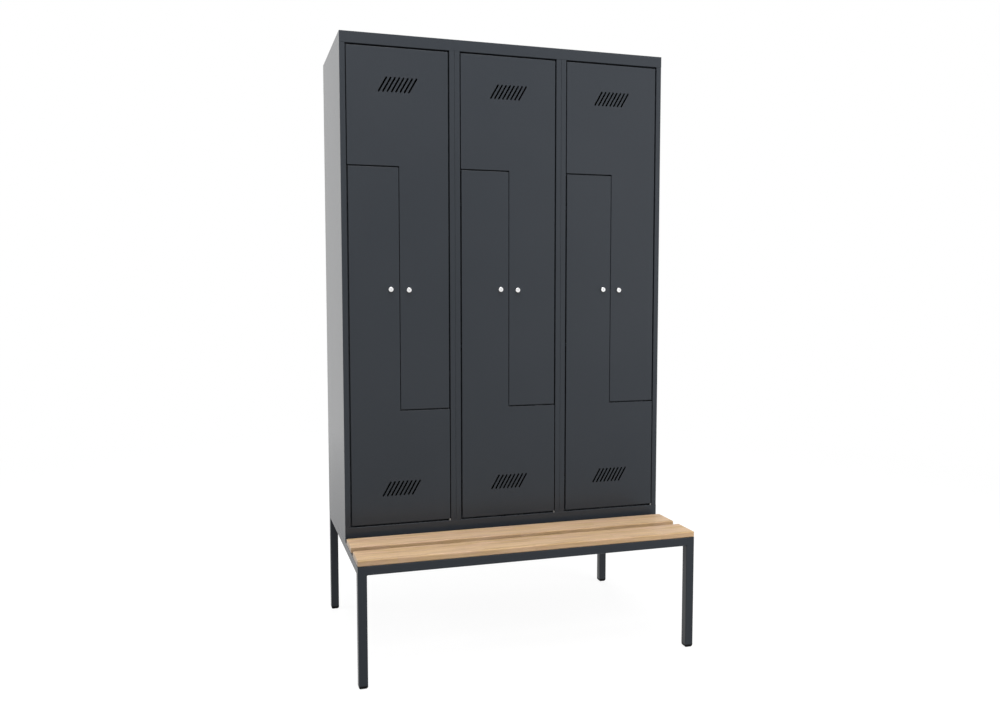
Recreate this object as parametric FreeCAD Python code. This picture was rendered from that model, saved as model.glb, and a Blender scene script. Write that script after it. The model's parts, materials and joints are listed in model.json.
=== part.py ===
# Z-locker with bench: three welded steel modules, each with two L-shaped doors, on a tube frame
# that runs forward under a slatted wooden seat. Millimetres, X to the right, front at -Y, Z up,
# origin on the floor below the middle of the whole footprint.
import FreeCAD, Part
import math
import os

Vector = FreeCAD.Vector
X_AXIS = Vector(1, 0, 0)
Y_AXIS = Vector(0, 1, 0)
Z_AXIS = Vector(0, 0, 1)

# Overall sizes
MODULE_COUNT = 3
MODULE_WIDTH = 400.0
BODY_DEPTH = 500.0
BODY_HEIGHT = 1752.0
BENCH_REACH = 300.0
BASE_HEIGHT = 404.0

# Tube frame and feet
TUBE = 30.0
TUBE_WALL = 1.5
TUBE_ROUND = 2.5
FOOT_HEIGHT = 12.0
FOOT_ROUND = 10.0
FOOT_CORNER = 20.0
FOOT_CORNER_ROUND = 11.5
FOOT_PLUG_LENGTH = 20.0
FOOT_PLUG_PLAY = 0.2

# Bench slats
SLAT_WIDTH = 114.0
SLAT_GAP = 42.0
SLAT_THICKNESS = 20.0
SLAT_ROUND = 3.5
SLAT_SCREW_SPREAD = 44.0
SLAT_SCREW_RADIUS = 2.5
SLAT_SCREW_BITE = 13.0

# Sheet steel
SHEET = 1.0
BEND_RADIUS = 1.5
STILE_WIDTH = 19.0
REBATE_DEPTH = 20.0
STOP_LIP = 12.0
TOP_RAIL = 39.0
BOTTOM_RAIL = 49.0
BACK_FLANGE = 15.0
DIVIDER_STRIP = 28.0

# Doors
HINGE_GAP = 5.0
FREE_GAP = 3.0
END_GAP = 6.0
UPRIGHT_SEAM = 2.0
LEVEL_SEAM = 4.2
SEAM_INSET = 408.0
DOOR_DEPTH = 16.0
DOOR_RETURN = 8.0
DOOR_CORNER = 2.0

# Ventilation slots
SLOT_COUNT = 8
SLOT_PITCH = 15.0
SLOT_WIDTH = 6.0
SLOT_LENGTH = 60.0
SLOT_LEAN = 30.0
SLOT_SHIFT = 1.5
SLOT_INSET = 130.0

# Hinges: an arm with a pintle on the stile, a bracket with two ears in the door
HINGE_COUNT = 3
HINGE_INSET = 120.0
PIN_INSET = 6.0
PIN_RADIUS = 2.5
PIN_PLAY = 0.05
KNUCKLE_RADIUS = 4.2
ARM_HEIGHT = 8.0
ARM_THICKNESS = 5.0
ARM_BEND = 6.5
ARM_FOOT_HEIGHT = 24.0
ARM_FOOT_THICKNESS = 2.0
EAR_THICKNESS = 2.0
EAR_PLAY = 0.4
EAR_REACH = 9.0
BRACKET_WEB = 2.0
NOTCH_HEIGHT = 12.0
NOTCH_FRONT = 1.5

# Cam locks
LOCK_INSET = 32.0
LOCK_RISE = 1.0
BEZEL_RADIUS = 8.8
BEZEL_HEIGHT = 9.0
BEZEL_ROUND = 2.0
BARREL_RADIUS = 7.5
BARREL_FLATS = 12.8
BARREL_PLAY = 0.1
PLUG_RADIUS = 5.0
PLUG_PLAY = 0.05
PLUG_RECESS = 0.6
KEYWAY_WIDTH = 2.0
KEYWAY_HEIGHT = 6.4
KEYWAY_DEPTH = 7.0
NUT_ACROSS = 20.0
NUT_THICKNESS = 4.0
CAM_PLAY = 1.0
CAM_THICKNESS = 2.0
CAM_WIDTH = 12.0
CAM_LENGTH = 28.0
CAM_SQUARE = 5.0

# Coat hooks, door glides and fixings
HOOK_STRIP = 14.0
HOOK_THICKNESS = 3.0
HOOK_BEND = 8.0
HOOK_FOOT = 30.0
HOOK_DROP = 39.0
HOOK_REACH = 22.0
HOOK_TIP = 15.0
GLIDE_RADIUS = 3.2
GLIDE_HEIGHT = 5.5
GLIDE_EDGE = 0.8
GLIDE_INSET = 3.3
GLIDE_SETBACK = 3.4
SCREW_HEAD_ACROSS = 10.0
SCREW_HEAD_HEIGHT = 3.5
SCREW_PLAY = 0.25
BODY_SCREW_RADIUS = 3.0
BODY_SCREW_INSET = 60.0
BODY_SCREW_LENGTH = 14.0
WALL_HOLE_RADIUS = 4.5
WALL_HOLE_DROP = 90.0

# Places worked out from the sizes
WIDTH = MODULE_COUNT * MODULE_WIDTH
LEFT = -WIDTH / 2
RIGHT = WIDTH / 2
BENCH_FRONT = -(BODY_DEPTH + BENCH_REACH) / 2
BODY_FRONT = BENCH_FRONT + BENCH_REACH
BODY_BACK = BODY_FRONT + BODY_DEPTH
STOP_PLANE = BODY_FRONT + REBATE_DEPTH
BODY_TOP = BASE_HEIGHT + BODY_HEIGHT
OPENING_BOTTOM = BASE_HEIGHT + BOTTOM_RAIL
OPENING_TOP = BODY_TOP - TOP_RAIL
OPENING_MIDDLE = (OPENING_BOTTOM + OPENING_TOP) / 2
LOWER_SEAM = OPENING_BOTTOM + SEAM_INSET
UPPER_SEAM = OPENING_TOP - SEAM_INSET
DOOR_BACK = BODY_FRONT + DOOR_DEPTH
PIN_DEPTH = BODY_FRONT + PIN_INSET
TUBE_INSIDE = TUBE - 2 * TUBE_WALL
RAIL_BOTTOM = BASE_HEIGHT - TUBE
RAIL_MIDDLE = BASE_HEIGHT - TUBE / 2
CAM_FRONT = STOP_PLANE + SHEET + CAM_PLAY


def box(low, high):
    """A block between two corners."""
    size = Vector(*high) - Vector(*low)
    return Part.makeBox(size.x, size.y, size.z, Vector(*low))


def fuse_all(shapes):
    """Several touching shapes as one solid without inner seams."""
    return shapes[0].multiFuse(shapes[1:]).removeSplitter()


def rounded_wire(corners, radii):
    """A closed wire through the corners, each rounded by its own radius, sharp where that is 0."""
    edges = []
    count = len(corners)
    starts = []
    ends = []
    middles = []
    for index, corner in enumerate(corners):
        along = corner - corners[index - 1]
        along.normalize()
        away = corners[(index + 1) % count] - corner
        away.normalize()
        half_turn = along.getAngle(away) / 2
        setback = radii[index] * math.tan(half_turn)
        starts.append(corner - along * setback)
        ends.append(corner + away * setback)
        inward = away - along
        inward.normalize()
        middles.append(corner + inward * (radii[index] / math.cos(half_turn) - radii[index]))
    for index in range(count):
        if radii[index] > 0:
            edges.append(Part.Arc(starts[index], middles[index], ends[index]).toShape())
        following = (index + 1) % count
        edges.append(Part.LineSegment(ends[index], starts[following]).toShape())
    return Part.Wire(edges)


def folded_strip(path, side, normal, length, thickness, bend_radius):
    """Flat stock folded along a path of square bends, on the given side of it, drawn out along normal."""
    steps = []
    for start, end in zip(path, path[1:]):
        step = end - start
        step.normalize()
        steps.append(step)
    sideways = [normal.cross(step) * side for step in steps]
    offset = [path[0] + sideways[0] * thickness]
    near_radii = [0.0]
    far_radii = [0.0]
    for index in range(1, len(steps)):
        offset.append(path[index] + (sideways[index - 1] + sideways[index]) * thickness)
        folds_inward = steps[index].dot(sideways[index - 1]) > 0
        near_radii.append(bend_radius if folds_inward else bend_radius - thickness)
        far_radii.append(bend_radius - thickness if folds_inward else bend_radius)
    offset.append(path[-1] + sideways[-1] * thickness)
    near_radii.append(0.0)
    far_radii.append(0.0)
    wire = rounded_wire(path + offset[::-1], near_radii + far_radii[::-1])
    return Part.Face(wire).extrude(normal * length)


def folded_sheet(path, side, normal, length):
    """The body's sheet steel, folded."""
    return folded_strip(path, side, normal, length, SHEET, BEND_RADIUS)


def square_tube(start, direction, length):
    """A length of square tube whose axis starts at a point."""
    across = Z_AXIS if abs(direction.z) < 0.5 else X_AXIS
    beside = direction.cross(across)
    faces = []
    for size, radius in ((TUBE, TUBE_ROUND), (TUBE_INSIDE, TUBE_ROUND - TUBE_WALL)):
        half = size / 2
        signs = ((-1, -1), (1, -1), (1, 1), (-1, 1))
        corners = [start + across * (half * u) + beside * (half * v) for u, v in signs]
        faces.append(Part.Face(rounded_wire(corners, [radius] * 4)).extrude(direction * length))
    return faces[0].cut(faces[1])


def upright(radius, x, y, bottom, top):
    """A vertical cylinder."""
    return Part.makeCylinder(radius, top - bottom, Vector(x, y, bottom), Z_AXIS)


def upright_edges(solid):
    """The straight edges of a solid that run along Z."""
    return [edge for edge in solid.Edges if edge.BoundBox.XLength + edge.BoundBox.YLength < 0.001]


def bore_along_y(radius, x, z, front, back):
    """A cylinder that runs from front to back."""
    return Part.makeCylinder(radius, back - front, Vector(x, front, z), Y_AXIS)


def hexagon(centre, across_flats, height):
    """A hexagon head or nut blank, drawn out from its seat along a vector."""
    across = X_AXIS
    beside = height.cross(across)
    beside.normalize()
    radius = across_flats / 2 / math.cos(math.pi / 6)
    corners = []
    for index in range(6):
        angle = math.pi / 3 * index
        corners.append(centre + across * (radius * math.cos(angle)) + beside * (radius * math.sin(angle)))
    return Part.Face(Part.makePolygon(corners + corners[:1])).extrude(height)


def edges_at(solid, axis, place):
    """The edges of a solid that lie wholly in a plane across an axis."""
    return [edge for edge in solid.Edges
            if all(abs(vertex.Point.dot(axis) - place) < 0.001 for vertex in edge.Vertexes)
            and abs(edge.CenterOfMass.dot(axis) - place) < 0.001]


# Tube frame

def leg(x, y):
    return square_tube(Vector(x, y, FOOT_HEIGHT), Z_AXIS, BASE_HEIGHT - FOOT_HEIGHT)


def cross_rail(y):
    return square_tube(Vector(LEFT + TUBE, y, RAIL_MIDDLE), X_AXIS, WIDTH - 2 * TUBE)


def lengthwise_rail(x, front, back):
    rail = square_tube(Vector(x, front, RAIL_MIDDLE), Y_AXIS, back - front)
    for y in slat_screw_rows():
        rail = rail.cut(upright(SLAT_SCREW_RADIUS + SCREW_PLAY, x, y, RAIL_BOTTOM, BASE_HEIGHT))
    return rail


def side_rail(x):
    rail = lengthwise_rail(x, BENCH_FRONT + TUBE, BODY_BACK - TUBE)
    for y in body_screw_rows():
        rail = rail.cut(upright(BODY_SCREW_RADIUS + SCREW_PLAY, x, y, RAIL_MIDDLE, BASE_HEIGHT))
    return rail


def foot(x, y):
    """A plastic plug: a tread as wide as the tube, rounded below and at its corners, and a stem."""
    half = TUBE / 2
    tread = box((x - half, y - half, 0.0), (x + half, y + half, FOOT_HEIGHT))
    tread = tread.makeFillet(FOOT_ROUND, edges_at(tread, Z_AXIS, 0.0))
    turned = upright(FOOT_CORNER, x, y, 0.0, FOOT_HEIGHT)
    turned = turned.makeFillet(FOOT_CORNER_ROUND, edges_at(turned, Z_AXIS, 0.0))
    stem = TUBE_INSIDE / 2 - FOOT_PLUG_PLAY
    plug = box((x - stem, y - stem, FOOT_HEIGHT), (x + stem, y + stem, FOOT_HEIGHT + FOOT_PLUG_LENGTH))
    plug = plug.makeFillet(TUBE_ROUND - TUBE_WALL, upright_edges(plug))
    return fuse_all([tread.common(turned), plug])


# Bench

def slat_fronts():
    return [BENCH_FRONT, BENCH_FRONT + SLAT_WIDTH + SLAT_GAP]


def slat_screw_rows():
    rows = []
    for front in slat_fronts():
        middle = front + SLAT_WIDTH / 2
        rows += [middle - SLAT_SCREW_SPREAD / 2, middle + SLAT_SCREW_SPREAD / 2]
    return rows


def slat_screw_columns():
    return [LEFT + TUBE / 2, 0.0, RIGHT - TUBE / 2]


def slat(front):
    board = box((LEFT, front, BASE_HEIGHT), (RIGHT, front + SLAT_WIDTH, BASE_HEIGHT + SLAT_THICKNESS))
    board = board.makeFillet(SLAT_ROUND, board.Edges)
    for x in slat_screw_columns():
        for y in slat_screw_rows():
            board = board.cut(upright(SLAT_SCREW_RADIUS, x, y, BASE_HEIGHT, BASE_HEIGHT + SLAT_SCREW_BITE))
    return board


def slat_screw(x, y):
    shank = upright(SLAT_SCREW_RADIUS, x, y, RAIL_BOTTOM, BASE_HEIGHT + SLAT_SCREW_BITE)
    head = hexagon(Vector(x, y, RAIL_BOTTOM), SCREW_HEAD_ACROSS, Z_AXIS * -SCREW_HEAD_HEIGHT)
    return fuse_all([head, shank])


# Cabinet body

def body_screw_rows():
    return [STOP_PLANE + BODY_SCREW_INSET, BODY_BACK - BODY_SCREW_INSET]


def body_screw_columns():
    return [LEFT + TUBE / 2, RIGHT - TUBE / 2]


def body_screw(x, y):
    seat = BASE_HEIGHT + SHEET
    shank = upright(BODY_SCREW_RADIUS, x, y, seat - BODY_SCREW_LENGTH, seat)
    head = hexagon(Vector(x, y, seat), SCREW_HEAD_ACROSS, Z_AXIS * SCREW_HEAD_HEIGHT)
    return fuse_all([head, shank])


def boundaries():
    return [LEFT + index * MODULE_WIDTH for index in range(MODULE_COUNT + 1)]


def module_centre(index):
    return LEFT + (index + 0.5) * MODULE_WIDTH


def rail_panel(outer, opening, stop_end, side):
    """Roof or floor: one sheet whose front edge folds into a rail, a door rebate and a stop lip."""
    path = [
        Vector(LEFT, BODY_BACK, outer),
        Vector(LEFT, BODY_FRONT, outer),
        Vector(LEFT, BODY_FRONT, opening),
        Vector(LEFT, STOP_PLANE, opening),
        Vector(LEFT, STOP_PLANE, stop_end),
    ]
    panel = folded_sheet(path, side, X_AXIS, WIDTH)
    stop_low = min(opening, stop_end)
    stop_high = max(opening, stop_end)
    stile_reach = STILE_WIDTH + STOP_LIP
    for x in boundaries():
        low = (x - stile_reach, STOP_PLANE - BEND_RADIUS, stop_low)
        panel = panel.cut(box(low, (x + stile_reach, STOP_PLANE + SHEET, stop_high)))
    inner_low = min(opening, outer + side * -SHEET)
    inner_high = max(opening, outer + side * -SHEET)
    for x in (LEFT, RIGHT - SHEET):
        low = (x, BODY_FRONT + SHEET, inner_low)
        panel = panel.cut(box(low, (x + SHEET, STOP_PLANE + SHEET, inner_high)))
    return panel


def roof_panel():
    return rail_panel(BODY_TOP, OPENING_TOP, OPENING_TOP - STOP_LIP, 1)


def floor_panel():
    panel = rail_panel(BASE_HEIGHT, OPENING_BOTTOM, OPENING_BOTTOM + STOP_LIP, -1)
    for x in body_screw_columns():
        for y in body_screw_rows():
            hole = upright(BODY_SCREW_RADIUS + SCREW_PLAY, x, y, BASE_HEIGHT, BASE_HEIGHT + SHEET)
            panel = panel.cut(hole)
    return panel


def back_panel():
    panel = box((LEFT, BODY_BACK - SHEET, BASE_HEIGHT + SHEET), (RIGHT, BODY_BACK, BODY_TOP - SHEET))
    for x in (module_centre(0), module_centre(MODULE_COUNT - 1)):
        hole = bore_along_y(WALL_HOLE_RADIUS, x, BODY_TOP - WALL_HOLE_DROP, BODY_BACK - SHEET, BODY_BACK)
        panel = panel.cut(hole)
    return panel


def side_panel(wall, inward, is_outer):
    """A module's side: wall, front stile, door rebate and stop lip folded from one sheet."""
    bottom = BASE_HEIGHT + SHEET
    top = BODY_TOP - SHEET
    rear = BODY_BACK - SHEET
    path = [
        Vector(wall + inward * BACK_FLANGE, rear, bottom),
        Vector(wall, rear, bottom),
        Vector(wall, BODY_FRONT, bottom),
        Vector(wall + inward * STILE_WIDTH, BODY_FRONT, bottom),
        Vector(wall + inward * STILE_WIDTH, STOP_PLANE, bottom),
        Vector(wall + inward * (STILE_WIDTH + STOP_LIP), STOP_PLANE, bottom),
    ]
    panel = folded_sheet(path, inward, Z_AXIS, top - bottom)
    skin = wall + inward * SHEET if is_outer else wall
    fold_end = wall + inward * (STILE_WIDTH + STOP_LIP)
    for low, high in ((bottom, OPENING_BOTTOM), (OPENING_TOP, top)):
        face = box((min(wall, fold_end), BODY_FRONT, low), (max(wall, fold_end), BODY_FRONT + SHEET, high))
        fold = box((min(skin, fold_end), BODY_FRONT, low), (max(skin, fold_end), STOP_PLANE + SHEET, high))
        panel = panel.cut(face).cut(fold)
    return panel


def z_divider(centre):
    """A Z-folded shelf between a module's two compartments, with a strip behind the door seams."""
    front = STOP_PLANE + SHEET
    half = SHEET / 2
    reach = MODULE_WIDTH / 2 - SHEET
    path = [
        Vector(centre - reach, front, UPPER_SEAM + half),
        Vector(centre + half, front, UPPER_SEAM + half),
        Vector(centre + half, front, LOWER_SEAM + half),
        Vector(centre + reach, front, LOWER_SEAM + half),
    ]
    shelf = folded_sheet(path, 1, Y_AXIS, BODY_BACK - SHEET - BEND_RADIUS - front)
    strip = DIVIDER_STRIP / 2
    strip_reach = MODULE_WIDTH / 2 - STILE_WIDTH - STOP_LIP
    corners = [
        (-strip_reach, UPPER_SEAM - strip),
        (-strip, UPPER_SEAM - strip),
        (-strip, LOWER_SEAM - strip),
        (strip_reach, LOWER_SEAM - strip),
        (strip_reach, LOWER_SEAM + strip),
        (strip, LOWER_SEAM + strip),
        (strip, UPPER_SEAM + strip),
        (-strip_reach, UPPER_SEAM + strip),
    ]
    outline = [Vector(centre + x, STOP_PLANE, z) for x, z in corners]
    face_strip = Part.Face(Part.makePolygon(outline + outline[:1])).extrude(Y_AXIS * SHEET)
    return fuse_all([shelf, face_strip])


def coat_hook(x, ceiling):
    """A hook bent from flat strip: a foot under a shelf or the roof, a drop, an open bend and a tip."""
    y = (STOP_PLANE + BODY_BACK - HOOK_STRIP) / 2
    bottom = ceiling - HOOK_DROP
    path = [
        Vector(x - HOOK_FOOT, y, ceiling),
        Vector(x, y, ceiling),
        Vector(x, y, bottom),
        Vector(x + HOOK_REACH, y, bottom),
        Vector(x + HOOK_REACH, y, bottom + HOOK_TIP),
    ]
    return folded_strip(path, 1, Y_AXIS, HOOK_STRIP, HOOK_THICKNESS, HOOK_BEND)


def door_glide(centre):
    """A plastic button on the bottom rebate that carries the free corner of a lower door."""
    x = centre + MODULE_WIDTH / 2 - STILE_WIDTH - GLIDE_INSET
    y = BODY_FRONT + GLIDE_SETBACK
    button = upright(GLIDE_RADIUS, x, y, OPENING_BOTTOM, OPENING_BOTTOM + GLIDE_HEIGHT)
    return button.makeChamfer(GLIDE_EDGE, edges_at(button, Z_AXIS, OPENING_BOTTOM + GLIDE_HEIGHT))


# Doors: everything is made for the lower door and turned half round for the upper one

def turned_over(shape, centre):
    """The same piece turned half round about the middle of its module."""
    turned = shape.copy()
    turned.rotate(Vector(centre, 0, OPENING_MIDDLE), Y_AXIS, 180)
    return turned


def hinge_edge(centre):
    return centre - MODULE_WIDTH / 2 + STILE_WIDTH + HINGE_GAP


def hinge_heights():
    first = OPENING_BOTTOM + END_GAP + HINGE_INSET
    last = UPPER_SEAM - LEVEL_SEAM / 2 - HINGE_INSET
    return [first + (last - first) * index / (HINGE_COUNT - 1) for index in range(HINGE_COUNT)]


def door_outline(centre):
    """The L-shaped edge of a lower door on the front plane, with its corners rounded."""
    left = hinge_edge(centre)
    right = centre + MODULE_WIDTH / 2 - STILE_WIDTH - FREE_GAP
    seam = centre - UPRIGHT_SEAM / 2
    bottom = OPENING_BOTTOM + END_GAP
    shoulder = LOWER_SEAM - LEVEL_SEAM / 2
    top = UPPER_SEAM - LEVEL_SEAM / 2
    corners = [(left, bottom), (right, bottom), (right, shoulder), (seam, shoulder), (seam, top), (left, top)]
    points = [Vector(x, BODY_FRONT, z) for x, z in corners]
    return Part.Face(rounded_wire(points, [DOOR_CORNER] * len(points)))


def slot_cutter(x, z):
    """One leaning slot with round ends, drawn through the door's front."""
    lean = math.radians(SLOT_LEAN)
    along = Vector(math.sin(lean), 0, math.cos(lean))
    across = Vector(math.cos(lean), 0, -math.sin(lean))
    middle = Vector(x, BODY_FRONT, z)
    radius = SLOT_WIDTH / 2
    run = SLOT_LENGTH / 2 - radius
    ends = []
    for direction in (-1, 1):
        end = middle + along * (run * direction)
        ends.append((end - across * (radius * direction), end + along * (radius * direction),
                     end + across * (radius * direction)))
    lower, upper = ends
    wire = Part.Wire([
        Part.Arc(*lower).toShape(),
        Part.LineSegment(lower[2], upper[0]).toShape(),
        Part.Arc(*upper).toShape(),
        Part.LineSegment(upper[2], lower[0]).toShape(),
    ])
    return Part.Face(wire).extrude(Y_AXIS * SHEET)


def lock_place(centre):
    return centre - LOCK_INSET, OPENING_MIDDLE + LOCK_RISE


def flatted_cylinder(radius, flats, x, z, front, back):
    """A round bar from front to back with two upright flats."""
    half = flats / 2
    return bore_along_y(radius, x, z, front, back).common(
        box((x - half, front, z - radius), (x + half, back, z + radius)))


def lower_door(centre):
    """An L-shaped pan: rounded folds, side walls and a narrow return, with slots and a lock hole."""
    outline = door_outline(centre)
    pan = outline.extrude(Y_AXIS * DOOR_DEPTH)
    pan = pan.makeFillet(BEND_RADIUS, edges_at(pan, Y_AXIS, BODY_FRONT))
    inside = outline.makeOffset2D(-SHEET)
    inside.translate(Y_AXIS * SHEET)
    cavity = inside.extrude(Y_AXIS * (DOOR_DEPTH - 2 * SHEET))
    cavity = cavity.makeFillet(BEND_RADIUS - SHEET, edges_at(cavity, Y_AXIS, BODY_FRONT + SHEET))
    mouth = outline.makeOffset2D(-DOOR_RETURN)
    mouth.translate(Y_AXIS * (DOOR_DEPTH - SHEET))
    pan = pan.cut(cavity).cut(mouth.extrude(Y_AXIS * SHEET))
    cutters = []
    for index in range(SLOT_COUNT):
        x = centre + SLOT_SHIFT + (index - (SLOT_COUNT - 1) / 2) * SLOT_PITCH
        cutters.append(slot_cutter(x, OPENING_BOTTOM + SLOT_INSET))
    x, z = lock_place(centre)
    cutters.append(flatted_cylinder(BARREL_RADIUS + BARREL_PLAY, BARREL_FLATS + 2 * BARREL_PLAY, x, z,
                                    BODY_FRONT, BODY_FRONT + SHEET))
    edge = hinge_edge(centre)
    for height in hinge_heights():
        low = (edge, BODY_FRONT + NOTCH_FRONT, height - NOTCH_HEIGHT / 2)
        cutters.append(box(low, (edge + DOOR_RETURN, DOOR_BACK, height + NOTCH_HEIGHT / 2)))
    return pan.cut(Part.makeCompound(cutters))


def hinge_arm(centre, height):
    """A gooseneck arm bent from bar: from a foot on the stile along the stop and forward to the pin."""
    pin_x = hinge_edge(centre) + PIN_INSET
    stile = hinge_edge(centre) - HINGE_GAP
    half = ARM_HEIGHT / 2
    pin_half = half + EAR_PLAY + EAR_THICKNESS
    foot_half = ARM_FOOT_HEIGHT / 2
    foot_plate = box((stile, STOP_PLANE - ARM_THICKNESS, height - foot_half),
                     (stile + ARM_FOOT_THICKNESS, STOP_PLANE, height + foot_half))
    inner_corner = [edge for edge in upright_edges(foot_plate)
                    if edge.CenterOfMass.x < stile + 0.001 and edge.CenterOfMass.y > STOP_PLANE - 0.001]
    foot_plate = foot_plate.makeChamfer(BEND_RADIUS - SHEET, inner_corner)
    neck_x = pin_x + ARM_THICKNESS / 2
    path = [
        Vector(stile + ARM_FOOT_THICKNESS, STOP_PLANE, height - half),
        Vector(neck_x, STOP_PLANE, height - half),
        Vector(neck_x, PIN_DEPTH, height - half),
    ]
    neck = folded_strip(path, -1, Z_AXIS, ARM_HEIGHT, ARM_THICKNESS, ARM_BEND)
    knuckle = upright(KNUCKLE_RADIUS, pin_x, PIN_DEPTH, height - half, height + half)
    pin = upright(PIN_RADIUS, pin_x, PIN_DEPTH, height - pin_half, height + pin_half)
    return fuse_all([foot_plate, neck, knuckle, pin])


def hinge_bracket(centre, height):
    """A folded bracket inside the door whose two ears turn on the pin."""
    pin_x = hinge_edge(centre) + PIN_INSET
    inner_face = BODY_FRONT + SHEET
    ear_low = ARM_HEIGHT / 2 + EAR_PLAY
    ear_high = ear_low + EAR_THICKNESS
    web_x = pin_x + EAR_REACH - BRACKET_WEB
    back = PIN_DEPTH + KNUCKLE_RADIUS
    pieces = [box((web_x, inner_face, height - ear_high), (pin_x + EAR_REACH, back, height + ear_high))]
    for low, high in ((height - ear_high, height - ear_low), (height + ear_low, height + ear_high)):
        pieces.append(box((pin_x, inner_face, low), (pin_x + EAR_REACH, back, high)))
        pieces.append(upright(KNUCKLE_RADIUS, pin_x, PIN_DEPTH, low, high))
    bracket = fuse_all(pieces)
    hole = upright(PIN_RADIUS + PIN_PLAY, pin_x, PIN_DEPTH, height - ear_high, height + ear_high)
    return bracket.cut(hole)


def lock_housing(centre):
    """A cam lock's case: round bezel on the door, flatted barrel through it and a hexagon nut."""
    x, z = lock_place(centre)
    bezel_front = BODY_FRONT - BEZEL_HEIGHT
    bezel = bore_along_y(BEZEL_RADIUS, x, z, bezel_front, BODY_FRONT)
    bezel = bezel.makeFillet(BEZEL_ROUND, edges_at(bezel, Y_AXIS, bezel_front))
    barrel_back = CAM_FRONT - CAM_PLAY
    barrel = flatted_cylinder(BARREL_RADIUS, BARREL_FLATS, x, z, BODY_FRONT, barrel_back)
    case = fuse_all([bezel, barrel])
    case = case.cut(bore_along_y(PLUG_RADIUS + PLUG_PLAY, x, z, bezel_front, barrel_back))
    nut_front = BODY_FRONT + SHEET
    nut = hexagon(Vector(x, nut_front, z), NUT_ACROSS, Y_AXIS * NUT_THICKNESS)
    nut = nut.cut(bore_along_y(BARREL_RADIUS, x, z, nut_front, nut_front + NUT_THICKNESS))
    return Part.makeCompound([case, nut])


def lock_plug(centre):
    """The turning plug with its keyway in front and a square tail for the cam."""
    x, z = lock_place(centre)
    front = BODY_FRONT - BEZEL_HEIGHT + PLUG_RECESS
    plug = bore_along_y(PLUG_RADIUS, x, z, front, CAM_FRONT)
    half = CAM_SQUARE / 2
    tail = box((x - half, CAM_FRONT, z - half), (x + half, CAM_FRONT + CAM_THICKNESS, z + half))
    keyway = box((x - KEYWAY_WIDTH / 2, front, z - KEYWAY_HEIGHT / 2),
                 (x + KEYWAY_WIDTH / 2, front + KEYWAY_DEPTH, z + KEYWAY_HEIGHT / 2))
    return fuse_all([plug, tail]).cut(keyway)


def lock_cam(centre):
    """A flat cam on the plug's tail, hanging down when the lock is open."""
    x, z = lock_place(centre)
    half = CAM_WIDTH / 2
    back = CAM_FRONT + CAM_THICKNESS
    tip = z - CAM_LENGTH + half
    plate = box((x - half, CAM_FRONT, tip), (x + half, back, z))
    round_ends = [bore_along_y(half, x, height, CAM_FRONT, back) for height in (z, tip)]
    cam = fuse_all([plate] + round_ends)
    square = CAM_SQUARE / 2
    return cam.cut(box((x - square, CAM_FRONT, z - square), (x + square, back, z + square)))


# The assembly, one named node for each piece

def frame_nodes():
    left = LEFT + TUBE / 2
    right = RIGHT - TUBE / 2
    front = BENCH_FRONT + TUBE / 2
    back = BODY_BACK - TUBE / 2
    corners = [(left, front), (right, front), (left, back), (right, back)]
    names = ["leg_front_left", "leg_front_right", "leg_rear_left", "leg_rear_right"]
    nodes = {name: leg(x, y) for name, (x, y) in zip(names, corners)}
    nodes["foot_plugs"] = Part.makeCompound([foot(x, y) for x, y in corners])
    nodes["front_rail"] = cross_rail(front)
    nodes["middle_rail"] = cross_rail(BODY_FRONT + TUBE / 2)
    nodes["rear_rail"] = cross_rail(back)
    nodes["side_rail_left"] = side_rail(left)
    nodes["side_rail_right"] = side_rail(right)
    nodes["slat_bearer"] = lengthwise_rail(0.0, BENCH_FRONT + TUBE, BODY_FRONT)
    return nodes


def bench_nodes():
    front, rear = slat_fronts()
    screws = [slat_screw(x, y) for x in slat_screw_columns() for y in slat_screw_rows()]
    return {"front_slat": slat(front), "rear_slat": slat(rear), "slat_screws": Part.makeCompound(screws)}


def body_nodes():
    nodes = {"roof_panel": roof_panel(), "floor_panel": floor_panel(), "back_panel": back_panel()}
    arms = []
    hooks = []
    glides = []
    half = MODULE_WIDTH / 2
    for index in range(MODULE_COUNT):
        number = index + 1
        centre = module_centre(index)
        nodes[f"side_panel_{number}_left"] = side_panel(centre - half, 1, index == 0)
        nodes[f"side_panel_{number}_right"] = side_panel(centre + half, -1, number == MODULE_COUNT)
        nodes[f"z_divider_{number}"] = z_divider(centre)
        for height in hinge_heights():
            arm = hinge_arm(centre, height)
            arms += [arm, turned_over(arm, centre)]
        hooks.append(coat_hook(centre - half / 2, UPPER_SEAM - SHEET / 2))
        hooks.append(coat_hook(centre + half / 2, BODY_TOP - SHEET))
        glides.append(door_glide(centre))
    screws = [body_screw(x, y) for x in body_screw_columns() for y in body_screw_rows()]
    nodes["hinge_arms"] = Part.makeCompound(arms)
    nodes["coat_hooks"] = Part.makeCompound(hooks)
    nodes["door_glides"] = Part.makeCompound(glides)
    nodes["body_screws"] = Part.makeCompound(screws)
    return nodes


def door_nodes():
    nodes = {}
    for index in range(MODULE_COUNT):
        number = index + 1
        centre = module_centre(index)
        pieces = {
            "door": lower_door(centre),
            "hinge_brackets": Part.makeCompound([hinge_bracket(centre, z) for z in hinge_heights()]),
            "lock_housing": lock_housing(centre),
            "lock_plug": lock_plug(centre),
            "lock_cam": lock_cam(centre),
        }
        for name, shape in pieces.items():
            nodes[f"{name}_lower_{number}"] = shape
            nodes[f"{name}_upper_{number}"] = turned_over(shape, centre)
    return nodes


def main():
    os.makedirs("parts", exist_ok=True)
    nodes = {**frame_nodes(), **bench_nodes(), **body_nodes(), **door_nodes()}
    for name, shape in nodes.items():
        shape.exportStep(f"parts/{name}.step")


main()
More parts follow.
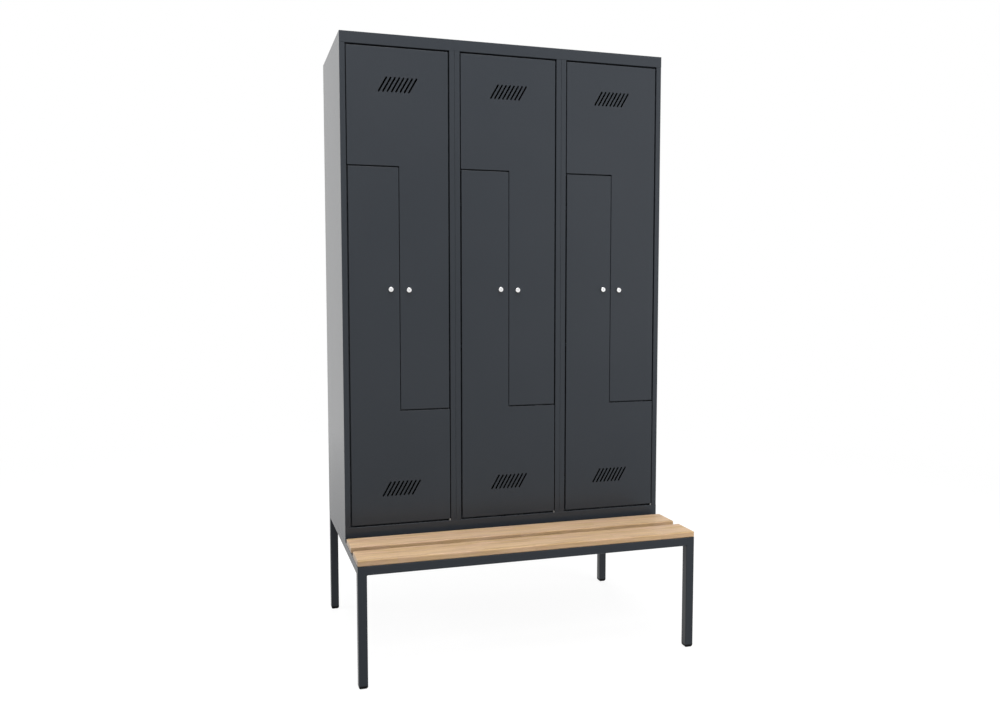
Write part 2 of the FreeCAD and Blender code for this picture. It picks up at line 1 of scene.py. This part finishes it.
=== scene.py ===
# Dressing of the z-locker with bench: finishes for the steel, wood, locks and plastic, the welds
# of the tube frame, and a plain white studio seen from the photograph's viewing angle.
# Lengths are in metres, X runs to the right, the front is at -Y and Z is up.
import json
import math

import bmesh
import bpy
from mathutils import Euler, Matrix, Vector


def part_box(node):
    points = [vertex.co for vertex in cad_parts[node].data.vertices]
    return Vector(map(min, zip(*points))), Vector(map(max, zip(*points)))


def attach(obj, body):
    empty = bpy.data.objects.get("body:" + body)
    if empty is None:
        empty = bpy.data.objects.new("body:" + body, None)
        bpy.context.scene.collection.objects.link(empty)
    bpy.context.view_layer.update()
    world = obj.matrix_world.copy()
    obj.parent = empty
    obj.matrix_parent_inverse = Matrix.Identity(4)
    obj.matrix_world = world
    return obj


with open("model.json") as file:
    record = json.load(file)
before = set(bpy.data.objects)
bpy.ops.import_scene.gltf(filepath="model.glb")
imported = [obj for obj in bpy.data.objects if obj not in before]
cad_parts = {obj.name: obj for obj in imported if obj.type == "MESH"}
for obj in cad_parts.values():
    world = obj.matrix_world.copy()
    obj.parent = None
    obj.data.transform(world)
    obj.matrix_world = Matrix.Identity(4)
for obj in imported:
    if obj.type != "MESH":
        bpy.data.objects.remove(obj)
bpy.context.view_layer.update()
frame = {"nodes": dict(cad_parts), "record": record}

# Camera, from a fit to the locker's edges: turns in degrees, lens and sensor in millimetres
CAMERA_PLACE = (-0.98500, -3.19487, 1.27557)
CAMERA_PITCH = -4.1321
CAMERA_ROLL = -0.0196
CAMERA_YAW = 17.0846
CAMERA_LENS = 32.159
SENSOR_WIDTH = 36.0

# Lamps: name, place, point they face, side, power in watts, and whether surfaces mirror them
LAMPS = (
    ("overhead_softbox", (-0.3, -1.1, 4.4), (0.0, -0.5, 0.4), 3.0, 109.5, True),
    ("left_softbox", (-4.2, 0.6, 2.4), (-0.6, 0.15, 1.2), 2.6, 45.0, False),
    ("right_softbox", (3.2, -3.6, 2.6), (0.2, -0.1, 1.5), 4.0, 14.0, True),
    ("front_softbox", (-0.5, -4.0, 3.6), (0.0, -0.1, 1.2), 2.4, 42.0, False),
    ("low_softbox", (3.0, -2.0, 1.0), (0.2, -0.2, 0.9), 2.0, 42.0, False),
    ("rear_softbox", (0.6, 4.6, 3.2), (0.0, 0.3, 1.2), 3.0, 70.0, False),
)

# Sky and floor. The floor's glow makes it white to look at. Reflections show a share of the glow,
# and all of it on a spot below the locker. Far out the floor fades into the white sky.
WHITE = (1, 1, 1, 1)
SKY_LIGHT = 0.17
FLOOR_SIZE = 80.0
FLOOR_MIDDLE = (0.0, 0.0, 0.0)
FLOOR_COLOUR = (0.22, 0.22, 0.22, 1)
FLOOR_ROUGHNESS = 0.9
FLOOR_GLOW = 0.89
FLOOR_GLOSS = 0.55
FLOOR_BRIGHT_SPOT = (0.20, 0.15, 0.0)
FLOOR_BRIGHT_REACH = (0.35, 0.85)
FLOOR_FADE = (1.6, 5.0)

# Values that several finishes share: where most noise lies, how squarely a face has to look along
# an axis to count, and dust
NOISE_RANGE = (0.3, 0.7)
FACING_RANGE = (0.55, 0.90)
DUST = (0.42, 0.40, 0.37, 1)

# Powder coat
COAT_DARK = (0.0320, 0.0388, 0.0486, 1)
COAT_LIGHT = (0.0350, 0.0418, 0.0519, 1)
COAT_SPECK = (0.060, 0.066, 0.072, 1)
COAT_SPECK_SHARE = 0.30
COAT_EDGE = (0.095, 0.100, 0.106, 1)
COAT_EDGE_SHARE = 0.35
COAT_DUST_SHARE = 0.05
COAT_DUST_ROUGHNESS = 0.06
COAT_ROUGHNESS = (0.20, 0.27)
COAT_IOR = 1.5
COAT_SHINE = 0.3

# Beech. Each stave has its own tone and grain, and a paler one runs along the middle of each slat.
STAVE_LENGTH = 0.47
STAVE_WIDTH = 0.0385
STAVE_OFFSET = 0.37
STAVE_SHIFT = 9.0
STAVE_TINT = (0.30, 0.46)
SLAT_PITCH = 0.156
PALE_STAVE = 0.366
PALE_SHARE = 0.36
GLUE_LINE = 0.00025
GLUE_SHARE = 0.45
GLUE_DEPTH = 0.8
BEECH_DARK_STREAK = (0.430, 0.276, 0.140, 1)
BEECH_PALE_STREAK = (0.855, 0.606, 0.384, 1)
BEECH_BAND = (0.685, 0.425, 0.240, 1)
BEECH_BAND_SHARE = 0.32
BEECH_GOLDEN = (0.712, 0.496, 0.242, 1)
BEECH_ROSY = (0.765, 0.524, 0.402, 1)
BEECH_PALE = (0.840, 0.614, 0.394, 1)
BEECH_FLECK = (0.330, 0.190, 0.100, 1)
BEECH_FLECK_SHARE = 0.30
BEECH_GLUE = (0.300, 0.180, 0.095, 1)
BEECH_EDGE = (0.520, 0.345, 0.200, 1)
BEECH_EDGE_SHARE = 0.50
BEECH_ROUGHNESS = (0.58, 0.48)
BEECH_RELIEF = 0.00018
BEECH_SHINE = 0.3
LACQUER = 0.03
LACQUER_ROUGHNESS = 0.35

# Sides and ends of the slats: painted shade on the long sides that face the gaps, painted light on the front
# face of the bench, and pale end grain painted light on the ends, which are sealed smooth
SIDE_LIGHT_AND_SHADE_SHARE = 0.42
SIDE_PAINTED_SHADE = (0.545, 0.340, 0.175, 1)
FRONT_PAINTED_LIGHT = (0.895, 0.590, 0.330, 1)
PAINTED_LIGHT_FROM = (-0.375, -0.385)
# End grain rings, both tones painted pale as painted light on the ends
LIT_END_DARK = (0.650, 0.436, 0.250, 1)
LIT_END_PALE = (0.840, 0.586, 0.360, 1)
END_ROUGHNESS = 0.28

# Metals
NICKEL_DARK = (0.79, 0.79, 0.795, 1)
NICKEL_LIGHT = (0.85, 0.85, 0.855, 1)
NICKEL_EDGE = (0.92, 0.92, 0.92, 1)
NICKEL_ROUGHNESS = (0.14, 0.26)
ZINC_DARK = (0.52, 0.53, 0.545, 1)
ZINC_LIGHT = (0.66, 0.665, 0.67, 1)
ZINC_SCRATCH = (0.78, 0.78, 0.78, 1)
ZINC_SCRATCH_SHARE = 0.35
ZINC_EDGE = (0.80, 0.80, 0.79, 1)
ZINC_ROUGHNESS = (0.40, 0.28)
METAL_EDGE_SHARE = 0.5

# Plastics
BLACK_DARK = (0.004, 0.004, 0.004, 1)
BLACK_LIGHT = (0.007, 0.007, 0.007, 1)
BLACK_ROUGHNESS = (0.55, 0.70)
BLACK_SHINE = 0.12
GREY_DARK = (0.24, 0.24, 0.235, 1)
GREY_LIGHT = (0.30, 0.30, 0.295, 1)
GREY_ROUGHNESS = (0.36, 0.50)
GREY_SHINE = 0.5
PLASTIC_SCUFF = (0.30, 0.30, 0.30, 1)
PLASTIC_SCUFF_SHARE = 0.10
PLASTIC_DUST_SHARE = 0.06

# Welds. One kind of bead fills the groove that the tubes' round edges leave beside a leg, the other
# lies in the corner below a rail. Both stop short of the tube's edges, and they swell and narrow by
# shares of their radius.
TUBE = 0.030
TUBE_ROUND = 0.0025
GROOVE_DEPTH = TUBE_ROUND * 0.62
GROOVE_WELD = GROOVE_DEPTH * 0.96
GROOVE_SHIFT = 0.0007
CORNER_WELD = 0.0024
WELD_INSET = 0.003
WELD_SIDES = 8
WELD_PITCH = 0.0011
WELD_TIP = 0.55
WELD_DIP = 0.86

# Sockets of a Mix node that mixes colours
MIX_FACTOR, MIX_FIRST, MIX_SECOND, MIX_RESULT = 0, 6, 7, 2


# Node helpers

def add_node(tree, kind, inputs=None, **settings):
    """One shader node, with its settings and with values or links on its inputs."""
    node = tree.nodes.new(kind)
    for name, value in settings.items():
        setattr(node, name, value)
    for name, value in (inputs or {}).items():
        if isinstance(value, bpy.types.NodeSocket):
            tree.links.new(value, node.inputs[name])
        else:
            node.inputs[name].default_value = value
    return node


def math_node(tree, operation, first, second=0.0):
    """The result of an operation on one or two values."""
    return add_node(tree, "ShaderNodeMath", {0: first, 1: second}, operation=operation).outputs[0]


def scaled(tree, value, share):
    """A value times a share."""
    return math_node(tree, "MULTIPLY", value, share)


def vector_node(tree, operation, first, second, output):
    """One output of an operation on two vectors."""
    return add_node(tree, "ShaderNodeVectorMath", {0: first, 1: second}, operation=operation).outputs[output]


def remap(tree, value, low, high, new_low, new_high):
    """A value moved from one range to another, held at the ends."""
    inputs = {"Value": value, "From Min": low, "From Max": high, "To Min": new_low, "To Max": new_high}
    return add_node(tree, "ShaderNodeMapRange", inputs).outputs["Result"]


def spread(tree, noise_value, low=0.0, high=1.0):
    """Noise drawn out to a range."""
    return remap(tree, noise_value, *NOISE_RANGE, low, high)


def mix_colours(tree, factor, first, second):
    """Two colours mixed by a factor."""
    inputs = {MIX_FACTOR: factor, MIX_FIRST: first, MIX_SECOND: second}
    return add_node(tree, "ShaderNodeMix", inputs, data_type="RGBA").outputs[MIX_RESULT]


def object_place(tree):
    """Object coordinates, in metres."""
    return add_node(tree, "ShaderNodeTexCoord").outputs["Object"]


def surface_normal(tree):
    """The direction that the surface faces."""
    return add_node(tree, "ShaderNodeNewGeometry").outputs["Normal"]


def part_of(tree, vector, axis):
    """One axis of a vector."""
    return add_node(tree, "ShaderNodeSeparateXYZ", {"Vector": vector}).outputs[axis]


def faces_along(tree, axis, share=1.0):
    """A mask of the faces that look along an axis, either way."""
    along = math_node(tree, "ABSOLUTE", part_of(tree, surface_normal(tree), axis))
    return remap(tree, along, *FACING_RANGE, 0.0, share)


def stretched(tree, vector, scale):
    """A vector scaled along each axis."""
    return add_node(tree, "ShaderNodeMapping", {"Vector": vector, "Scale": scale}).outputs["Vector"]


def noise(tree, vector, scale, detail, roughness=0.5):
    """Soft noise on a vector."""
    inputs = {"Vector": vector, "Scale": scale, "Detail": detail, "Roughness": roughness}
    return add_node(tree, "ShaderNodeTexNoise", inputs).outputs["Fac"]


def new_group(name, inputs, outputs):
    """An empty node group with named sockets, its inputs by name, and its end node."""
    tree = bpy.data.node_groups.new(name, "ShaderNodeTree")
    for label, value in inputs:
        socket = tree.interface.new_socket(name=label, in_out="INPUT", socket_type="NodeSocketFloat")
        socket.default_value = value
    for label, kind in outputs:
        tree.interface.new_socket(name=label, in_out="OUTPUT", socket_type="NodeSocket" + kind)
    start = tree.nodes.new("NodeGroupInput")
    end = tree.nodes.new("NodeGroupOutput")
    return tree, start.outputs, end


def place_group(tree, group, inputs):
    """A node group placed in a material with its own values."""
    return add_node(tree, "ShaderNodeGroup", inputs, node_tree=group).outputs


# Effects that several finishes share

def make_surface_grain():
    """Fine grain and slow waves of a surface, as a normal, with the values of both."""
    tree, start, end = new_group(
        "surface_grain",
        [("Grain Scale", 800.0), ("Grain Depth", 0.00002), ("Wave Scale", 4.0), ("Wave Depth", 0.0003)],
        [("Normal", "Vector"), ("Grain", "Float"), ("Patch", "Float")])
    place = object_place(tree)
    grain = noise(tree, place, start["Grain Scale"], 2.0, 0.55)
    wave = noise(tree, place, start["Wave Scale"], 1.0)
    slow = add_node(tree, "ShaderNodeBump",
                    {"Height": wave, "Distance": start["Wave Depth"], "Strength": 1.0}).outputs["Normal"]
    fine = add_node(tree, "ShaderNodeBump",
                    {"Height": grain, "Distance": start["Grain Depth"], "Strength": 1.0, "Normal": slow})
    tree.links.new(fine.outputs["Normal"], end.inputs["Normal"])
    tree.links.new(grain, end.inputs["Grain"])
    tree.links.new(wave, end.inputs["Patch"])
    return tree


def make_edge_wear():
    """A mask that is 1 on sharp edges, broken up by noise."""
    tree, start, end = new_group("edge_wear", [("Radius", 0.002), ("Break Up", 60.0)], [("Mask", "Float")])
    rounded = add_node(tree, "ShaderNodeBevel", {"Radius": start["Radius"]}, samples=4).outputs["Normal"]
    same = vector_node(tree, "DOT_PRODUCT", rounded, surface_normal(tree), "Value")
    edge = remap(tree, same, 0.995, 0.90, 0.0, 1.0)
    cloud = noise(tree, object_place(tree), start["Break Up"], 4.0)
    patchy = remap(tree, cloud, 0.35, 0.65, 0.25, 1.0)
    tree.links.new(math_node(tree, "MULTIPLY", edge, patchy), end.inputs["Mask"])
    return tree


def make_settled_dust():
    """A mask of thin dust on faces that look up."""
    tree, start, end = new_group("settled_dust", [("Scale", 30.0)], [("Mask", "Float")])
    upward = remap(tree, part_of(tree, surface_normal(tree), "Z"), 0.4, 1.0, 0.0, 1.0)
    cloud = noise(tree, object_place(tree), start["Scale"], 5.0, 0.6)
    cloud = remap(tree, cloud, 0.35, 0.75, 0.2, 1.0)
    tree.links.new(math_node(tree, "MULTIPLY", upward, cloud), end.inputs["Mask"])
    return tree


# Finishes

def new_finish(name):
    """A material, its node tree and the inputs of its shader."""
    material = bpy.data.materials.new(name)
    material.use_nodes = True
    tree = material.node_tree
    return material, tree, tree.nodes["Principled BSDF"].inputs


def make_powder_coat():
    """Matt anthracite powder coat on sheet and tube: fine grain, slow waves of the sheet, paler edges."""
    material, tree, shader = new_finish("anthracite_powder_coat")
    grain = place_group(tree, SURFACE_GRAIN, {"Grain Scale": 900.0, "Grain Depth": 0.000016,
                                              "Wave Scale": 3.2, "Wave Depth": 0.0009})
    edge = place_group(tree, EDGE_WEAR, {"Radius": 0.0012, "Break Up": 45.0})["Mask"]
    dust = place_group(tree, SETTLED_DUST, {"Scale": 22.0})["Mask"]
    coat = mix_colours(tree, spread(tree, grain["Patch"]), COAT_DARK, COAT_LIGHT)
    speck = remap(tree, grain["Grain"], 0.62, 0.80, 0.0, COAT_SPECK_SHARE)
    coat = mix_colours(tree, speck, coat, COAT_SPECK)
    coat = mix_colours(tree, scaled(tree, edge, COAT_EDGE_SHARE), coat, COAT_EDGE)
    coat = mix_colours(tree, scaled(tree, dust, COAT_DUST_SHARE), coat, DUST)
    tree.links.new(coat, shader["Base Color"])
    rough = spread(tree, grain["Grain"], *COAT_ROUGHNESS)
    rough = math_node(tree, "ADD", rough, scaled(tree, dust, COAT_DUST_ROUGHNESS))
    tree.links.new(rough, shader["Roughness"])
    tree.links.new(grain["Normal"], shader["Normal"])
    shader["IOR"].default_value = COAT_IOR
    shader["Specular IOR Level"].default_value = COAT_SHINE
    return material


def stave_pattern(tree, place):
    """The staves' tones, one for each stave, and a mask of the thin glue lines between them."""
    staves = add_node(tree, "ShaderNodeTexBrick",
                      {"Vector": place, "Color1": (0, 0, 0, 1), "Color2": WHITE, "Mortar": (0.5, 0.5, 0.5, 1),
                       "Scale": 1.0, "Mortar Size": GLUE_LINE, "Mortar Smooth": 0.3,
                       "Brick Width": STAVE_LENGTH, "Row Height": STAVE_WIDTH},
                      offset=STAVE_OFFSET, squash=1.0).outputs
    tone = add_node(tree, "ShaderNodeSeparateColor", {"Color": staves["Color"]}).outputs["Red"]
    return tone, staves["Fac"]


def pale_stave(tree, across):
    """A mask along the middle of each slat."""
    turns = scaled(tree, math_node(tree, "ADD", across, PALE_STAVE), 2 * math.pi / SLAT_PITCH)
    return remap(tree, math_node(tree, "COSINE", turns), 0.35, 0.90, 0.0, PALE_SHARE)


def make_beech():
    """Clear-lacquered light beech, glued from staves along the bench, with end grain at the ends."""
    material, tree, shader = new_finish("lacquered_beech")
    place = object_place(tree)
    across = part_of(tree, place, "Y")
    tone, glue = stave_pattern(tree, place)
    shift = add_node(tree, "ShaderNodeCombineXYZ", {"X": scaled(tree, tone, STAVE_SHIFT), "Y": tone})
    own = vector_node(tree, "ADD", place, shift.outputs["Vector"], "Vector")

    streak = noise(tree, stretched(tree, own, (7.0, 80.0, 80.0)), 1.0, 6.0, 0.62)
    hue = noise(tree, stretched(tree, own, (8.0, 62.0, 62.0)), 1.0, 2.0)
    fleck = noise(tree, stretched(tree, own, (150.0, 900.0, 900.0)), 1.0, 1.0)
    band = add_node(tree, "ShaderNodeTexWave",
                    {"Vector": stretched(tree, own, (0.35, 1.0, 1.0)), "Scale": 14.0, "Distortion": 7.0,
                     "Detail": 3.0, "Detail Scale": 1.6}, bands_direction="Y").outputs["Fac"]
    rings = add_node(tree, "ShaderNodeTexWave",
                     {"Vector": stretched(tree, own, (1.0, 0.55, 1.0)), "Scale": 95.0, "Distortion": 3.0,
                      "Detail": 3.0}, bands_direction="Z").outputs["Fac"]

    grain = remap(tree, streak, 0.38, 0.62, 0.0, 1.0)
    colour = mix_colours(tree, grain, BEECH_DARK_STREAK, BEECH_PALE_STREAK)
    colour = mix_colours(tree, scaled(tree, band, BEECH_BAND_SHARE), colour, BEECH_BAND)
    tint = mix_colours(tree, remap(tree, hue, 0.40, 0.60, 0.0, 1.0), BEECH_GOLDEN, BEECH_ROSY)
    colour = mix_colours(tree, remap(tree, tone, 0.0, 1.0, *STAVE_TINT), colour, tint)
    colour = mix_colours(tree, pale_stave(tree, across), colour, BEECH_PALE)
    colour = mix_colours(tree, remap(tree, fleck, 0.60, 0.72, 0.0, BEECH_FLECK_SHARE), colour, BEECH_FLECK)
    colour = mix_colours(tree, scaled(tree, glue, GLUE_SHARE), colour, BEECH_GLUE)

    # Painted shade on the slats' long sides in the gaps, and painted light on the front face of the front
    # slat
    lit_front = remap(tree, across, *PAINTED_LIGHT_FROM, 0.0, 1.0)
    side_light_and_shade = mix_colours(tree, lit_front, SIDE_PAINTED_SHADE, FRONT_PAINTED_LIGHT)
    colour = mix_colours(tree, faces_along(tree, "Y", SIDE_LIGHT_AND_SHADE_SHARE), colour, side_light_and_shade)
    # End grain rings on the slat ends, painted pale as painted light falling on the ends
    sawn_end = faces_along(tree, "X")
    colour = mix_colours(tree, sawn_end, colour, mix_colours(tree, rings, LIT_END_DARK, LIT_END_PALE))
    edge = place_group(tree, EDGE_WEAR, {"Radius": 0.003, "Break Up": 30.0})["Mask"]
    colour = mix_colours(tree, scaled(tree, edge, BEECH_EDGE_SHARE), colour, BEECH_EDGE)
    tree.links.new(colour, shader["Base Color"])

    rough = spread(tree, streak, *BEECH_ROUGHNESS)
    tree.links.new(remap(tree, sawn_end, 0.0, 1.0, rough, END_ROUGHNESS), shader["Roughness"])
    height = math_node(tree, "SUBTRACT", streak, scaled(tree, glue, GLUE_DEPTH))
    relief = add_node(tree, "ShaderNodeBump", {"Height": height, "Distance": BEECH_RELIEF, "Strength": 1.0})
    tree.links.new(relief.outputs["Normal"], shader["Normal"])
    shader["Specular IOR Level"].default_value = BEECH_SHINE
    shader["Coat Weight"].default_value = LACQUER
    shader["Coat Roughness"].default_value = LACQUER_ROUGHNESS
    return material


def make_nickel():
    """Bright nickel plate on the locks, lightly brushed and worn at the rim."""
    material, tree, shader = new_finish("bright_nickel")
    grain = place_group(tree, SURFACE_GRAIN, {"Grain Scale": 2600.0, "Grain Depth": 0.000006,
                                              "Wave Scale": 120.0, "Wave Depth": 0.000015})
    edge = place_group(tree, EDGE_WEAR, {"Radius": 0.0005, "Break Up": 300.0})["Mask"]
    metal = mix_colours(tree, spread(tree, grain["Patch"]), NICKEL_DARK, NICKEL_LIGHT)
    metal = mix_colours(tree, scaled(tree, edge, METAL_EDGE_SHARE), metal, NICKEL_EDGE)
    tree.links.new(metal, shader["Base Color"])
    tree.links.new(spread(tree, grain["Grain"], *NICKEL_ROUGHNESS), shader["Roughness"])
    tree.links.new(grain["Normal"], shader["Normal"])
    shader["Metallic"].default_value = 1.0
    return material


def make_zinc():
    """Zinc-plated steel: cloudy patches, fine scratches of handling, brighter edges."""
    material, tree, shader = new_finish("zinc_plated_steel")
    grain = place_group(tree, SURFACE_GRAIN, {"Grain Scale": 1500.0, "Grain Depth": 0.00001,
                                              "Wave Scale": 60.0, "Wave Depth": 0.00004})
    edge = place_group(tree, EDGE_WEAR, {"Radius": 0.0006, "Break Up": 150.0})["Mask"]
    scratch = noise(tree, stretched(tree, object_place(tree), (60.0, 60.0, 2200.0)), 1.0, 2.0)
    metal = mix_colours(tree, spread(tree, grain["Patch"]), ZINC_DARK, ZINC_LIGHT)
    metal = mix_colours(tree, remap(tree, scratch, 0.62, 0.75, 0.0, ZINC_SCRATCH_SHARE), metal, ZINC_SCRATCH)
    metal = mix_colours(tree, scaled(tree, edge, METAL_EDGE_SHARE), metal, ZINC_EDGE)
    tree.links.new(metal, shader["Base Color"])
    tree.links.new(spread(tree, scratch, *ZINC_ROUGHNESS), shader["Roughness"])
    tree.links.new(grain["Normal"], shader["Normal"])
    shader["Metallic"].default_value = 1.0
    return material


def make_plastic(name, dark, light, roughness, shine):
    """Moulded plastic with a fine spark-eroded grain and scuffed edges."""
    material, tree, shader = new_finish(name)
    grain = place_group(tree, SURFACE_GRAIN, {"Grain Scale": 1300.0, "Grain Depth": 0.00003,
                                              "Wave Scale": 40.0, "Wave Depth": 0.00005})
    edge = place_group(tree, EDGE_WEAR, {"Radius": 0.0008, "Break Up": 120.0})["Mask"]
    dust = place_group(tree, SETTLED_DUST, {"Scale": 60.0})["Mask"]
    colour = mix_colours(tree, spread(tree, grain["Grain"]), dark, light)
    colour = mix_colours(tree, scaled(tree, edge, PLASTIC_SCUFF_SHARE), colour, PLASTIC_SCUFF)
    colour = mix_colours(tree, scaled(tree, dust, PLASTIC_DUST_SHARE), colour, DUST)
    tree.links.new(colour, shader["Base Color"])
    tree.links.new(spread(tree, grain["Grain"], *roughness), shader["Roughness"])
    tree.links.new(grain["Normal"], shader["Normal"])
    shader["Specular IOR Level"].default_value = shine
    return material


# Welds of the tube frame

def add_piece(name, mesh):
    """A finished shape as an object of the scene."""
    data = bpy.data.meshes.new(name)
    mesh.to_mesh(data)
    mesh.free()
    piece = bpy.data.objects.new(name, data)
    bpy.context.scene.collection.objects.link(piece)
    return piece


def add_weld(mesh, start, end, radius):
    """A rippled bead between two points: a circle drawn out in short steps that swell and narrow."""
    start = Vector(start)
    along = Vector(end) - start
    steps = 2 * round(along.length / WELD_PITCH / 2)
    stride = along / steps
    turn = along.to_track_quat("Z", "Y").to_matrix().to_4x4()
    ring = bmesh.ops.create_circle(mesh, cap_ends=True, segments=WELD_SIDES, radius=radius * WELD_TIP,
                                   matrix=Matrix.Translation(start) @ turn)["verts"]
    edges = list({edge for vert in ring for edge in vert.link_edges})
    size = WELD_TIP
    for step in range(1, steps + 1):
        drawn = bmesh.ops.extrude_edge_only(mesh, edges=edges)["geom"]
        ring = [item for item in drawn if isinstance(item, bmesh.types.BMVert)]
        edges = [item for item in drawn if isinstance(item, bmesh.types.BMEdge)]
        edges = [edge for edge in edges if all(vert in ring for vert in edge.verts)]
        swell = WELD_TIP if step == steps else (1.0 if step % 2 else WELD_DIP)
        centre = start + stride * (step - 1)
        bmesh.ops.scale(mesh, verts=ring, vec=(swell / size,) * 3, space=Matrix.Translation(-centre))
        bmesh.ops.translate(mesh, verts=ring, vec=stride)
        size = swell
    bmesh.ops.edgeloop_fill(mesh, edges=edges)


def build_welds():
    """The frame's welds: in the grooves beside each leg and in the corners below each rail."""
    mesh = bmesh.new()
    rail_low, rail_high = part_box("front_rail")
    under = rail_low.z
    low, high = under + WELD_INSET, rail_high.z - WELD_INSET
    front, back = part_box("leg_front_left")[0].y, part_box("leg_rear_left")[1].y
    left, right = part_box("leg_front_left")[0].x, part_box("leg_front_right")[1].x
    for side, inward in ((left, 1), (right, -1)):
        joint = side + inward * TUBE
        beside = joint - inward * GROOVE_SHIFT
        outer = side + inward * GROOVE_DEPTH
        near_x, far_x = min(side, joint) + WELD_INSET, max(side, joint) - WELD_INSET
        for y, outward in ((front, -1), (back, 1)):
            face = y - outward * GROOVE_DEPTH
            inner = y - outward * TUBE
            behind = inner + outward * GROOVE_SHIFT
            near_y, far_y = min(y, inner) + WELD_INSET, max(y, inner) - WELD_INSET
            add_weld(mesh, (beside, face, low), (beside, face, high), GROOVE_WELD)
            add_weld(mesh, (joint, near_y, under), (joint, far_y, under), CORNER_WELD)
            add_weld(mesh, (near_x, inner, under), (far_x, inner, under), CORNER_WELD)
            add_weld(mesh, (outer, behind, low), (outer, behind, high), GROOVE_WELD)
    bmesh.ops.recalc_face_normals(mesh, faces=mesh.faces)
    welds = add_piece("frame_welds", mesh)
    for face in welds.data.polygons:
        face.use_smooth = True
    return welds


# Studio

def seen_directly(tree, gloss):
    """1 where the camera or glass looks, a share in reflections, 0 where only light is gathered."""
    rays = add_node(tree, "ShaderNodeLightPath").outputs
    mirrored = math_node(tree, "MULTIPLY", rays["Is Glossy Ray"], gloss)
    mirrored = math_node(tree, "MAXIMUM", mirrored, rays["Is Transmission Ray"])
    return math_node(tree, "MAXIMUM", rays["Is Camera Ray"], mirrored)


def build_floor():
    """A wide white floor. It glows a little for the camera and for reflections, and keeps the shadow."""
    mesh = bmesh.new()
    bmesh.ops.create_grid(mesh, x_segments=1, y_segments=1, size=FLOOR_SIZE / 2)
    floor = add_piece("studio_floor", mesh)
    material, tree, shader = new_finish("studio_white")
    shader["Base Color"].default_value = FLOOR_COLOUR
    shader["Roughness"].default_value = FLOOR_ROUGHNESS
    shader["Specular IOR Level"].default_value = 0.0
    shader["Emission Color"].default_value = WHITE
    place = object_place(tree)
    from_spot = vector_node(tree, "DISTANCE", place, FLOOR_BRIGHT_SPOT, "Value")
    gloss = remap(tree, from_spot, *FLOOR_BRIGHT_REACH, 1.0, FLOOR_GLOSS)
    tree.links.new(scaled(tree, seen_directly(tree, gloss), FLOOR_GLOW), shader["Emission Strength"])
    from_middle = vector_node(tree, "DISTANCE", place, FLOOR_MIDDLE, "Value")
    fade = remap(tree, from_middle, *FLOOR_FADE, 0.0, 1.0)
    far = math_node(tree, "MULTIPLY", seen_directly(tree, 1.0), fade)
    near = tree.nodes["Principled BSDF"].outputs["BSDF"]
    white = add_node(tree, "ShaderNodeEmission", {"Color": WHITE, "Strength": 1.0}).outputs["Emission"]
    mixed = add_node(tree, "ShaderNodeMixShader", {0: far, 1: near, 2: white}).outputs["Shader"]
    tree.links.new(mixed, tree.nodes["Material Output"].inputs["Surface"])
    floor.data.materials.append(material)
    return floor


def build_sky():
    """White to look at, and a plain even light on the object."""
    world = bpy.data.worlds.new("studio_sky")
    world.use_nodes = True
    tree = world.node_tree
    background = tree.nodes["Background"]
    background.inputs["Color"].default_value = WHITE
    strength = remap(tree, seen_directly(tree, 1.0), 0.0, 1.0, SKY_LIGHT, 1.0)
    tree.links.new(strength, background.inputs["Strength"])
    world.cycles.sampling_method = "NONE"
    bpy.context.scene.world = world


def add_softbox(name, place, target, size, power, mirrored):
    """A square area lamp turned to a point, with or without a reflection of its own."""
    lamp = bpy.data.lights.new(name, "AREA")
    lamp.shape = "SQUARE"
    lamp.size = size
    lamp.energy = power
    softbox = bpy.data.objects.new(name, lamp)
    softbox.location = place
    softbox.visible_glossy = mirrored
    softbox.rotation_euler = (Vector(target) - Vector(place)).to_track_quat("-Z", "Y").to_euler()
    bpy.context.scene.collection.objects.link(softbox)


def add_camera():
    """The photograph's viewpoint."""
    data = bpy.data.cameras.new("studio_camera")
    data.sensor_fit = "HORIZONTAL"
    data.sensor_width = SENSOR_WIDTH
    data.lens = CAMERA_LENS
    camera = bpy.data.objects.new("studio_camera", data)
    camera.location = CAMERA_PLACE
    turn = Euler((math.radians(90 + CAMERA_PITCH), 0, math.radians(-CAMERA_YAW))).to_matrix()
    roll = Euler((0, 0, math.radians(CAMERA_ROLL))).to_matrix()
    camera.rotation_euler = (turn @ roll).to_euler()
    bpy.context.scene.collection.objects.link(camera)
    bpy.context.scene.camera = camera


SURFACE_GRAIN = make_surface_grain()
EDGE_WEAR = make_edge_wear()
SETTLED_DUST = make_settled_dust()

FINISHES = {
    "powder_coat": make_powder_coat(),
    "bench_wood": make_beech(),
    "lock_nickel": make_nickel(),
    "zinc_steel": make_zinc(),
    "black_plastic": make_plastic("black_moulding", BLACK_DARK, BLACK_LIGHT, BLACK_ROUGHNESS, BLACK_SHINE),
    "grey_plastic": make_plastic("grey_moulding", GREY_DARK, GREY_LIGHT, GREY_ROUGHNESS, GREY_SHINE),
}

for subpart in frame["record"]["subparts"]:
    piece = frame["nodes"][subpart["node"]]
    for slot in piece.material_slots:
        slot.material = FINISHES[subpart["material_slot"]]

frame_welds = build_welds()
frame_welds.data.materials.append(FINISHES["powder_coat"])
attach(frame_welds, "carcass")

studio_floor = build_floor()
build_sky()
for lamp in LAMPS:
    add_softbox(*lamp)
add_camera()
bpy.context.scene.view_settings.view_transform = "Standard"
